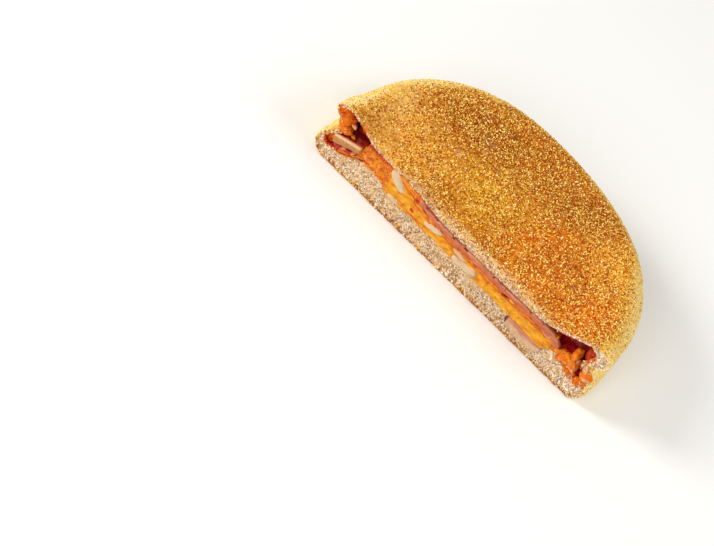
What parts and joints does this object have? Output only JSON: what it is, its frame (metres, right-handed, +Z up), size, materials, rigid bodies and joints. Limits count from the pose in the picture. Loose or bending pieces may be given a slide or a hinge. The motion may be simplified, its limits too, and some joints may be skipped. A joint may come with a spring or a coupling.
{
  "type": "english muffin sandwich",
  "caption": "Half of a filled English muffin with a sealed rim, cut through the middle, showing ham, melted cheese, onion and tomato sauce inside toasted, meal-dusted dough.",
  "frame": {"origin": "under the middle of the half, on the surface it lies on", "axes": "+X along the cut, to the right when looking at the cut face; +Y from the cut face into the half; +Z up through the crown"},
  "size_m": [0.0975, 0.0498, 0.0219],
  "materials": {
    "baked_dough": "matte baked dough, toasted crust with coarse meal",
    "melted_cheese": "melted cheese",
    "cooked_ham": "cooked ham, moist",
    "tomato_sauce": "tomato sauce, glossy",
    "onion": "cooked onion, translucent"
  },
  "bodies": {
    "root": {"bread": "baked_dough", "cheese": "melted_cheese", "cheese_lump": "melted_cheese", "ham_fold": "cooked_ham", "ham_upper": "cooked_ham", "tomato_sauce": "tomato_sauce", "onion_large": "onion", "onion_large_cap": "onion", "onion_left_lower": "onion", "onion_left_upper": "onion", "onion_middle": "onion", "onion_roof": "onion", "onion_small": "onion"}
  },
  "joints": []
}
